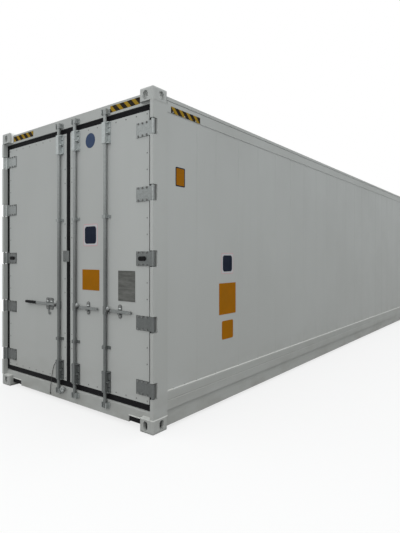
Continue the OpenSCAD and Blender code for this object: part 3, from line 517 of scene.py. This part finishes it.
for hand, door in doors:
    spots = edge * np.array([1, hand, 1])
    near_hinge = (np.abs(spots[:, 2:] - hinge_heights).min(axis=1) < 0.066) & (np.abs(spots[:, 1]) > 0.98)
    past_rod = rod_places[door] - spots[:, 1:2]
    near_guide = ((past_rod > -0.030) & (past_rod < 0.070)).any(axis=1)
    near_guide &= (spots[:, 2] < 0.44) | (spots[:, 2] > 2.52)
    near_lap = (np.abs(spots[:, 1]) < 0.09) & (np.abs(spots[:, 2] - lap_z) < 0.07)
    clear = spots[~(near_hinge | near_guide | near_lap)]
    make_piece(door + "_rivets", set_at(domed_head(0.0065, 0.003), clear, rear_face), dull_zinc_and_shade,
               door)

# The door seals: black rubber moulded with two soft lips, which close on the frame and on each other.
# Each is screwed round the edge of its leaf, and the right one stops over and under the lap plate.
rubber_tone = (0.006, 0.006, 0.007, 1)
rubber_grey = (0.013, 0.013, 0.014, 1)
black_rubber, tree, shader, place = new_finish("black_rubber", 0.0, 0.08)
chalk = noise(tree, place, (14.0, 14.0, 14.0), 5.0, 0.45, 0.75)
tree.links.new(blend_tones(tree, chalk, rubber_tone, rubber_grey), shader.inputs["Base Color"])
tree.links.new(spread(tree, chalk, 0.0, 1.0, 0.60, 0.80), shader.inputs["Roughness"])
pores = noise(tree, place, (400.0, 400.0, 400.0), 2.0, 0.3, 0.7)
pitted = shade(tree, "ShaderNodeBump", {"Strength": 0.3, "Distance": 0.0003, "Height": pores})
tree.links.new(pitted.outputs[0], shader.inputs["Normal"])
coat_nodes(["left_door_seal", "right_door_seal", "left_hinge_buffer", "right_hinge_buffer"], black_rubber)


def carried(profile, path, out, join_path):
    """Closed profile carried along a flat path: its first axis lies across the path and its second
    points out of the path's plane. With join_path the end of the path meets its start."""
    profile = np.asarray(profile, float)
    if join_path:
        ahead = np.roll(path, -1, axis=0) - np.roll(path, 1, axis=0)
    else:
        ahead = np.gradient(path, axis=0)
    ahead /= np.linalg.norm(ahead, axis=1, keepdims=True)
    out = np.asarray(out, float)
    across = np.cross(out, ahead)
    points = path[:, None] + profile[None, :, :1] * across[:, None] + profile[None, :, 1:] * out
    if join_path:
        return points.reshape(-1, 3), [grid_quads(len(path), len(profile), join_rows=True)]
    return closed_rings(points)


seal_x = rear_x + 0.051
seal_width, seal_height = 1.173, 2.579
seal_middle = np.array([0.5915, 1.4695])
lap_gap = 0.063
outer_lip = 0.001 * np.array([[-14, -1], [-14, 1.5], [-10, 4], [-4, 5], [1, 4], [4, 0], [4, -8], [0, -10]])
inner_turn = np.linspace(0, np.pi, 6)
inner_lip = np.stack([-0.024 - 0.0045 * np.cos(inner_turn), 0.0038 * np.sin(inner_turn) - 0.0005], axis=-1)
for hand, door in doors:
    line = round_outline(seal_width, seal_height, 0.004) * np.array([-hand, 1])
    line = line + seal_middle * np.array([hand, 1])
    path = np.concatenate([np.full((len(line), 1), seal_x), line], axis=1)
    if hand < 0:
        over_lap = np.array([[seal_x, line[0, 0], lap_z + lap_gap]])
        under_lap = np.array([[seal_x, line[0, 0], lap_z - lap_gap]])
        path = np.concatenate([over_lap, path, under_lap])
    lips = [carried(lip * np.array([-hand, 1]), path, (-1, 0, 0), hand > 0)
            for lip in (outer_lip, inner_lip)]
    make_piece(door + "_seal_lips", joined(lips), black_rubber, door)

# Black rubber flaps that close the notches beside the rear lower fittings, held in the sill's edge, are
# painted shade for the dark inside the notches.
# The fittings are welded to the posts, and a smoothed bead along the weld takes the pale sealant tone as a
# painted highlight.
# On the rear ones it fills the ledge before the sill, and runs on over the notch.
shade_flap_x = rear_x + 0.053
shade_flap_z = 0.070
# Painted shade: black sheets put in the notches, where there is only shadow.
shade_flap = flat_plate(0.171, 0.050, 0.004, 0.006)
shade_flaps = set_at(shade_flap, in_rows([shade_flap_x], [-0.9695, 0.9695], [shade_flap_z]), rear_face)
make_piece("sill_notch_shade_flaps", shade_flaps, black_rubber, "box")
fitting_top = 0.118
notch_top = 0.090
weld_profile = 0.001 * np.array([[-1, 0], [2, 0], [1.4, 6], [-1, 12]])
weld_path = np.array([[6.094, 1.1835, fitting_top], [6.094, 1.217, fitting_top],
                      [5.9185, 1.217, fitting_top]])
weld_points, weld_faces = carried(weld_profile, weld_path * np.array([-1, 1, 1]), (0, 0, 1), False)
highlight_welds = [(weld_points * np.array([x, y, 1]), weld_faces) for x in (1, -1) for y in (1, -1)]
ledge_profile = 0.001 * np.array([[43, -1], [43, 1], [30, 4], [0, 9], [-1, 9], [-1, -1]])
ledge_path = np.array([[skin_x, 1.060, fitting_top], [skin_x, 1.1835, fitting_top]])
notch_path = np.array([[skin_x, 0.880, notch_top], [skin_x, 1.0575, notch_top]])
for profile, path in ((ledge_profile, ledge_path), (weld_profile, notch_path)):
    bead_points, bead_faces = carried(profile, path, (0, 0, 1), False)
    highlight_welds += [(bead_points * np.array([1, y, 1]), bead_faces) for y in (1, -1)]
# Painted highlight: the pale beads stand in for the bright ledge lines on the fittings.
make_piece("lower_fitting_highlight_welds", joined(highlight_welds), sealant_highlight, "box")

# Hinges: pins in the post notches, and blades pressed from plate and dipped in zinc.
# Two rows of three bolts hold each blade to the door, and the zinc has set in faint flakes.
zinc_shade = (0.010, 0.010, 0.010, 1)


def zinc_coat(name, metallic, upper, lower, rough):
    """Zinc from a hot bath: the lower tone up to 1.3 m, the upper one from 2.4 m and a blend between, as
    painted reflection and shade; cells that are up to a seventh darker, stains that run down, and a soft
    bump of drips."""
    finish, tree, shader, place = new_finish(name, metallic, 0.4)
    wobble = noise(tree, place, (30.0, 30.0, 30.0), 2.0, 0.3, 0.7)
    flakes = shade(tree, "ShaderNodeTexVoronoi", {"Vector": place, "Scale": 85.0, "Randomness": 1.0})
    flake_share = shade(tree, "ShaderNodeSeparateColor", {0: flakes.outputs["Color"]}).outputs[0]
    height = shade(tree, "ShaderNodeSeparateXYZ", {0: place}).outputs[2]
    zinc = blend_tones(tree, spread(tree, height, 1.3, 2.4, 0.0, 1.0), lower, upper)
    zinc = blend_tones(tree, times(tree, flake_share, 0.14), zinc, zinc_shade)
    runs = noise(tree, place, (22.0, 22.0, 3.0), 5.0, 0.55, 0.80)
    zinc = blend_tones(tree, times(tree, runs, 0.25), zinc, zinc_shade)
    tree.links.new(zinc, shader.inputs["Base Color"])
    tree.links.new(spread(tree, flake_share, 0.0, 1.0, rough, rough + 0.08), shader.inputs["Roughness"])
    drips = shade(tree, "ShaderNodeBump", {"Strength": 0.25, "Distance": 0.0004, "Height": wobble})
    tree.links.new(drips.outputs[0], shader.inputs["Normal"])
    return finish


# The blend from the lower to the upper tone with height is painted reflection and shade.
galvanised = zinc_coat("galvanised_steel", 0.9, (0.345, 0.368, 0.364, 1), (0.128, 0.136, 0.134, 1), 0.42)
coat_nodes(["hinge_pins", "left_hinge_blades", "right_hinge_blades"], galvanised)


def bolt_head(radius, height):
    """Hexagon head on a round washer that stands a third of its height."""
    washer = turned([(1.25 * radius, -0.001), (1.25 * radius, 0.25 * height),
                     (1.1 * radius, 0.34 * height)], 14)
    hexagon = turned([(radius, 0.2 * height), (radius, 0.85 * height), (0.86 * radius, height)], 6)
    return joined([washer, hexagon])


bolt_step = 0.052
blade_rows = np.concatenate([hinge_heights - bolt_step, hinge_heights + bolt_step])
blade_bolts = in_rows([rear_x + 0.037], [1.006, 1.057, 1.108], blade_rows)
for hand, door in doors:
    bolts = set_at(bolt_head(0.008, 0.007), blade_bolts * np.array([1, hand, 1]), rear_face)
    make_piece(door + "_hinge_bolts", bolts, dull_zinc_and_shade, door)

# The lap plate over the seam between the doors, pressed from steel and dipped in zinc.
# Four bolts hold it to the left door, and it keeps the right door from opening first.
plate_grey = (0.140, 0.148, 0.146, 1)
plate_zinc = zinc_coat("plate_zinc", 0.15, plate_grey, plate_grey, 0.50)
coat_nodes(["centre_lap_plate"], plate_zinc)
lap_bolts = in_rows([rear_x + 0.035], [0.045, 0.065], lap_z + np.array([-0.039, 0.039]))
make_piece("lap_plate_bolts", set_at(bolt_head(0.006, 0.006), lap_bolts, rear_face), dull_zinc_and_shade,
           "left_door")

# Lock rods: steel tubes with a cam at each end and a forged hub for the handle, dipped in zinc.
# They turn in long guides and short bearings bolted to the doors, and lock in keepers on the frame.
# Each guide ends in a loose collar, and black rubber strips lie across its foot between the bolts as
# painted shade under its ribs.
rods = [(door, rod_y) for door, places in rod_places.items() for rod_y in places]
# On the rods, guides and keepers too the tones by height are painted reflection and shade.
rod_zinc = zinc_coat("rod_zinc", 0.15, (0.360, 0.380, 0.374, 1), (0.148, 0.157, 0.154, 1), 0.50)
guide_zinc = zinc_coat("guide_zinc", 0.3, (0.500, 0.533, 0.530, 1), (0.135, 0.144, 0.142, 1), 0.46)
keeper_zinc = zinc_coat("keeper_zinc", 0.3, (0.320, 0.339, 0.333, 1), (0.350, 0.371, 0.365, 1), 0.46)
coat_nodes(["left_rod_guides", "right_rod_guides"], guide_zinc)
coat_nodes(["left_lock_rod", "right_inner_lock_rod", "right_outer_lock_rod"], rod_zinc)
coat_nodes(["upper_cam_keepers", "lower_cam_keepers"], keeper_zinc)
foot_x = rear_x + 0.038
guide_bolt_rows = [0.3185, 0.3835, 2.5530, 2.6190]
bearing_rows = [0.650, 1.844]
shade_strip_rows = [0.286, 0.351, 0.416, 2.518, 2.588, 2.650]
keeper_rows = [0.114, 0.138, 2.784, 2.808]
collar_rows = [0.4220, 2.5205]
foot_shade_strip = flat_plate(0.032, 0.005, 0.0016, 0.003)
collar_profile = 0.001 * np.array([[-1, -12.5], [1, -12.5], [1.8, -10], [1.8, 10], [1, 12.5], [-1, 12.5]])
for number, (door, rod_y) in enumerate(rods, 1):
    flange = in_rows([foot_x], [rod_y - 0.042], guide_bolt_rows)
    feet = in_rows([foot_x], [rod_y - 0.040, rod_y + 0.040], bearing_rows)
    bolts = set_at(bolt_head(0.0055, 0.005), np.concatenate([flange, feet]), rear_face)
    make_piece(f"rod_guide_bolts_{number}", bolts, guide_zinc, door)
    # Painted shade: black strips across the guide's foot, for the shadow under its ribs.
    shade_strips = set_at(foot_shade_strip, in_rows([foot_x], [rod_y - 0.040], shade_strip_rows), rear_face)
    make_piece(f"rod_guide_shade_strips_{number}", shade_strips, black_rubber, door)
    heads = in_rows([rear_x + 0.036], [rod_y - 0.0415, rod_y + 0.0415], keeper_rows)
    heads = set_at(domed_head(0.006, 0.005), heads, rear_face)
    make_piece(f"keeper_bolts_{number}", heads, keeper_zinc, "box")
    wrap = np.array([[skin_x, rod_y - 0.023, 0], [rear_x + 0.003, rod_y - 0.023, 0],
                     [rear_x + 0.003, rod_y + 0.023, 0], [skin_x, rod_y + 0.023, 0]])
    collars = [carried(collar_profile, wrap + np.array([0, 0, z]), (0, 0, 1), False) for z in collar_rows]
    make_piece(f"rod_guide_collars_{number}", joined(collars), guide_zinc, door)

# A stop beside the left lower keeper: a hollow head on a short stem, moulded from grey plastic.
# It is pushed into the sill, and keeps the rod's cam off it when the door is thrown shut.
stop_grey = (0.420, 0.437, 0.430, 1)
stop_faded = (0.370, 0.382, 0.376, 1)
stop_profile = 0.001 * np.array([[14, -1], [14, 21], [25, 24], [26, 33], [24, 37], [13, 37], [11, 35],
                                 [10, 14], [2, 14]])
stop_plastic = faded_plastic("stop_plastic", stop_grey, stop_faded)
door_stop = set_at(turned(stop_profile, 28), [skin_x, 0.0613, 0.1516], rear_face)
make_piece("sill_stop", door_stop, stop_plastic, "box")

# Handles: flat bars on the rod hubs, each lying on a catch that is bolted to the door.
# Domed lugs and bright lips on the catches guide them in, and the left handle has a ribbed rubber grip.
# The lower half of each hub's cap is painted dark as shade and the rest pale as a painted highlight, and a
# bent hook hangs under the left catch.
handle_z = 0.990
catch_x = rear_x + 0.039
hub_shade_tone = (0.030, 0.031, 0.030, 1)
bar_grey = (0.205, 0.217, 0.213, 1)
hub_highlight_grey = (0.420, 0.440, 0.434, 1)
handle_zinc = zinc_coat("handle_zinc", 0.5, bar_grey, bar_grey, 0.40)
coat_nodes(["left_handle", "right_inner_handle", "right_outer_handle"], handle_zinc)
coat_nodes(["left_handle_catch", "right_handle_catches"], rod_zinc)
# Painted highlight: this bright zinc gives the catches' lips their shine.
highlight_zinc = zinc_coat("highlight_zinc", 0.9, (0.620, 0.648, 0.640, 1), (0.600, 0.628, 0.620, 1), 0.26)
hub_highlight_and_shade_zinc = zinc_coat("hub_highlight_and_shade_zinc", 0.6, hub_highlight_grey, hub_highlight_grey, 0.45)
# Painted shade: below the handle's height the hub cap turns dark; its pale tone above is a painted
# highlight.
tree, hub_coat, place = reopened(hub_highlight_and_shade_zinc)
height = shade(tree, "ShaderNodeSeparateXYZ", {0: place}).outputs[2]
below = spread(tree, height, handle_z, handle_z + 0.030, 1.0, 0.0)
tree.links.new(blend_tones(tree, below, hub_coat.links[0].from_socket, hub_shade_tone), hub_coat)
lug_profile = 0.001 * np.array([[21, -1], [21, 1], [19.5, 4], [15, 6.6], [8, 8.2], [1.5, 8.6]])
lug_points, lug_faces = turned(lug_profile, 24)
lug = lug_points * np.array([0.85, 0.90, 1.0]), lug_faces
lip = lug_points * np.array([0.80, 0.48, 1.0]), lug_faces
hub = lug_points * np.array([0.90, 1.45, 0.85]), lug_faces
bar_angle = 2 * np.pi * np.arange(10) / 10
bar_profile = 0.0045 * np.stack([np.cos(bar_angle), np.sin(bar_angle)], axis=-1)
for door, places in (("left_door", [0.283, 0.350]), ("right_door", [-0.321, -0.770])):
    # The dark, dull zinc of the lugs is partly painted shade; the lips' bright zinc is a painted highlight.
    lugs = set_at(lug, in_rows([catch_x], places, [handle_z - 0.044, handle_z + 0.044]), rear_face)
    make_piece(door + "_catch_lugs", lugs, dull_zinc_and_shade, door)
    lips = set_at(lip, in_rows([catch_x], places, [handle_z + 0.024]), rear_face)
    make_piece(door + "_catch_lips", lips, highlight_zinc, door)
for rod, pivot_y in (("left_rod", 0.180), ("right_inner_rod", -0.180), ("right_outer_rod", -0.635)):
    head = set_at(hub, [rear_x + 0.0105, pivot_y, handle_z + 0.008], rear_face)
    make_piece(rod + "_hub_cap", head, hub_highlight_and_shade_zinc, rod)

hook_turn = np.linspace(0, np.pi, 13)
hook_across = np.concatenate([np.full(6, 0.012), 0.012 * np.cos(hook_turn), [-0.012, -0.012]])
hook_up = np.concatenate([np.linspace(0.060, 0.008, 6), -0.012 * np.sin(hook_turn), [0.006, 0.014]])
hook_path = np.stack([np.full(21, rear_x + 0.0345), 0.316 + hook_across, 0.892 + hook_up], axis=-1)
make_piece("left_catch_hook", carried(bar_profile, hook_path, (-1, 0, 0), False), rod_zinc, "left_door")

ribs = np.linspace(0, 1, 61)
grip_r = 0.0150 - 0.0012 * (0.5 + 0.5 * np.cos(2 * np.pi * 15 * ribs))
grip_r *= np.clip(np.minimum(ribs, 1 - ribs) / 0.03, 0, 1) ** 0.5 * 0.35 + 0.65
grip = set_at(turned(np.stack([grip_r, 0.200 * ribs], axis=-1), 24), [rear_x + 0.023, 0.546, handle_z],
              np.array([[1, 0, 0], [0, 0, 1], [0, 1, 0]]))
grip_piece = make_piece("ribbed_grip", grip, black_rubber, "left_lever")
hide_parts("left_handle_grip")

# The tie-back rope: three laid strands of dark fibre, which hang from the side of the left lower guide.
# Its lower end is knotted, so that it can be hooked to hold the open door.
rope_exit = np.array([rear_x + 0.036, 0.155, 0.411])
rope_way = 0.001 * np.array([
    [0, 0], [10, 0], [20, -1], [34, -6], [48, -15], [61, -27], [73, -42], [84, -60], [93, -80], [101, -103],
    [108, -128], [115, -155], [121, -183], [127, -212], [133, -241], [138, -268], [142, -290], [144, -306],
    [145, -322], [145, -340],
])
rope_tone = (0.030, 0.032, 0.030, 1)
rope_dusty = (0.095, 0.095, 0.088, 1)
rope_fibre, tree, shader, place = new_finish("rope_fibre", 0.0, 0.2)
lint = noise(tree, place, (240.0, 240.0, 120.0), 4.0, 0.40, 0.70)
tree.links.new(blend_tones(tree, lint, rope_tone, rope_dusty), shader.inputs["Base Color"])
tree.links.new(spread(tree, lint, 0.0, 1.0, 0.70, 0.90), shader.inputs["Roughness"])


def smooth_way(points, steps):
    """Curve through the points: each stretch is a cubic whose slope at a point is half the step
    between that point's neighbours."""
    before = np.concatenate([2 * points[:1] - points[1:2], points[:-2]])
    start, end = points[:-1], points[1:]
    after = np.concatenate([points[2:], 2 * points[-1:] - points[-2:-1]])
    t = np.linspace(0, 1, steps, endpoint=False)[None, :, None]
    a, b, c, d = before[:, None], start[:, None], end[:, None], after[:, None]
    curve = 0.5 * (2 * b + (c - a) * t + (2 * a - 5 * b + 4 * c - d) * t ** 2
                   + (3 * b - a - 3 * c + d) * t ** 3)
    return np.concatenate([curve.reshape(-1, points.shape[1]), points[-1:]])


rope_line = smooth_way(rope_way, 8)
rope_path = rope_exit + np.concatenate([np.zeros((len(rope_line), 1)), rope_line], axis=1)
rope_run = np.concatenate([[0], np.cumsum(np.linalg.norm(np.diff(rope_path, axis=0), axis=1))])
ring_angle = 2 * np.pi * np.arange(15) / 15
strand_turn = ring_angle[None] - 2 * np.pi * rope_run[:, None] / 0.035
strand = 0.003 * (0.90 + 0.10 * np.abs(np.cos(1.5 * strand_turn)))
rope_ahead = np.gradient(rope_path, axis=0)
rope_ahead /= np.linalg.norm(rope_ahead, axis=1, keepdims=True)
rope_side = np.cross((-1.0, 0.0, 0.0), rope_ahead)
rope_rings = (rope_path[:, None] + (strand * np.cos(ring_angle))[..., None] * rope_side[:, None]
              + (strand * np.sin(ring_angle))[..., None] * np.array([-1.0, 0.0, 0.0]))
rope = make_piece("hanging_rope", closed_rings(rope_rings), rope_fibre, "left_door")
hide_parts("tie_rope")
turn = np.linspace(0, np.pi, 13)[1:-1, None]
round_turn = 2 * np.pi * np.arange(18)[None] / 18
knot_r = 0.0064 * np.sin(turn) ** 0.6 * (0.90 + 0.10 * np.cos(3 * (round_turn + 1.2 * turn)))
knot_rings = np.stack([knot_r * np.cos(round_turn), knot_r * np.sin(round_turn),
                       np.broadcast_to(0.009 * np.cos(turn), knot_r.shape)], axis=-1)
knot_rings = knot_rings + rope_path[-1] - np.array([0, 0, 0.009])
knot = make_piece("rope_end_knot", closed_rings(knot_rings), rope_fibre, "left_door")
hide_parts("tie_rope_knot")

# The stage: a wide floor below the fittings, white to the camera and in gloss, which keeps the shadow.
# An even sky lights the box from above, and one broad soft lamp stands off the doors.
reach = 90
floor_corners = [(-reach, -reach, 0), (reach, -reach, 0), (reach, reach, 0), (-reach, reach, 0)]
floor_mesh = bpy.data.meshes.new("stage_floor")
floor_mesh.from_pydata(floor_corners, [], [(0, 1, 2, 3)])
stage_floor = bpy.data.objects.new("stage_floor", floor_mesh)
bpy.context.scene.collection.objects.link(stage_floor)


def seen_share(tree, share):
    """The share for rays from the camera, from gloss and from glass, and zero for the rest."""
    ray = tree.nodes.new("ShaderNodeLightPath").outputs
    seen = ray["Is Camera Ray"]
    for kind in ("Is Glossy Ray", "Is Transmission Ray"):
        seen = shade(tree, "ShaderNodeMath", {0: seen, 1: ray[kind]}, operation="MAXIMUM").outputs[0]
    return times(tree, seen, share)


pale_floor = bpy.data.materials.new("pale_floor")
pale_floor.use_nodes = True
tree = pale_floor.node_tree
tree.nodes.clear()
floor_tone = blend_tones(tree, seen_share(tree, 1.0), (0.20, 0.20, 0.20, 1), (0.85, 0.85, 0.85, 1))
matt = shade(tree, "ShaderNodeBsdfDiffuse", {"Color": floor_tone})
white = shade(tree, "ShaderNodeEmission", {"Color": (1, 1, 1, 1), "Strength": 1.0})
mixed = shade(tree, "ShaderNodeMixShader",
              {0: seen_share(tree, 0.75), 1: matt.outputs[0], 2: white.outputs[0]})
shade(tree, "ShaderNodeOutputMaterial", {0: mixed.outputs[0]})
floor_mesh.materials.append(pale_floor)

sky = bpy.data.worlds.new("even_sky")
sky.use_nodes = True
bpy.context.scene.world = sky
tree = sky.node_tree
tree.nodes.clear()
soft = shade(tree, "ShaderNodeBackground", {"Color": (0.98, 1.0, 1.0, 1), "Strength": 1.11})
bright = shade(tree, "ShaderNodeBackground", {"Color": (1, 1, 1, 1), "Strength": 1.0})
both = shade(tree, "ShaderNodeMixShader",
             {0: seen_share(tree, 1.0), 1: soft.outputs[0], 2: bright.outputs[0]})
shade(tree, "ShaderNodeOutputWorld", {0: both.outputs[0]})

lamp = bpy.data.objects.new("broad_lamp", bpy.data.lights.new("broad_lamp", "AREA"))
bpy.context.scene.collection.objects.link(lamp)
lamp.data.shape = "DISK"
lamp.data.size = 2.5
lamp.data.energy = 34
lamp.location = (-10.5, -2.6, 2.6)
lamp.rotation_euler = (math.radians(76), 0, math.radians(-65))
lamp.visible_camera = False
bpy.context.scene.view_settings.view_transform = "Standard"
